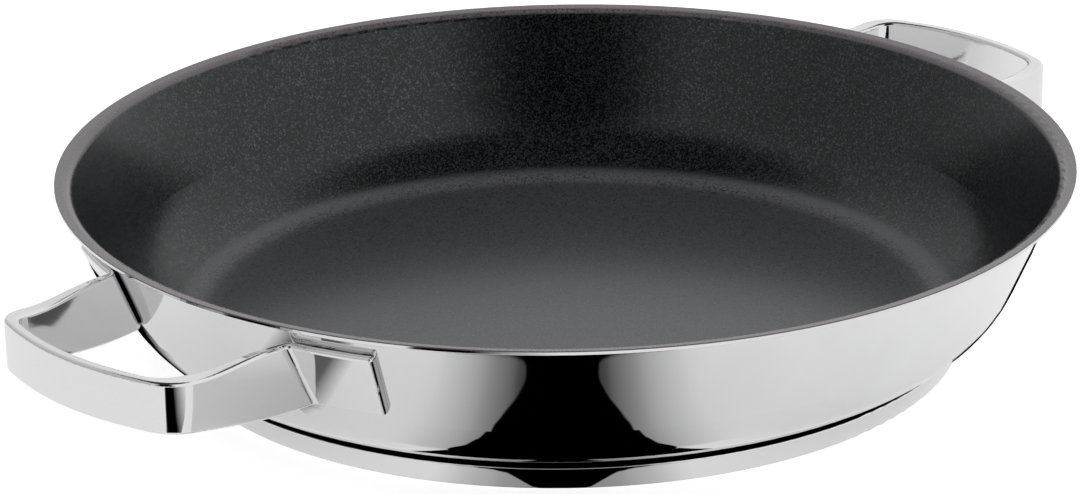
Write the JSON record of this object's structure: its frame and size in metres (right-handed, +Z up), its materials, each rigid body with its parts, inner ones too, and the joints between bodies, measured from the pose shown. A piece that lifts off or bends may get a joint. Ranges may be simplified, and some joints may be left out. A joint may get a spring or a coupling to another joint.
{
  "type": "serving pan",
  "caption": "Low round steel serving pan with a flared pouring rim, dark non-stick lining, sandwich base and bail handles on opposite sides.",
  "frame": {"origin": "centre of the base's underside, on the table", "axes": "+Z up, handles along X, +Y across them"},
  "size_m": [0.3642, 0.29, 0.0525],
  "materials": {
    "polished_steel": "mirror-polished stainless steel",
    "nonstick": "dark speckled non-stick coat with a fine grain",
    "aluminium_core": "plain rolled aluminium",
    "base_steel": "polished side, fine turned underside",
    "handle_steel": "mirror-polished stainless steel"
  },
  "bodies": {
    "root": {"pan_body": "polished_steel", "nonstick_coating": "nonstick", "heat_disc": "aluminium_core", "base_cap": "base_steel", "handle_left": "handle_steel", "handle_right": "handle_steel"}
  },
  "joints": []
}
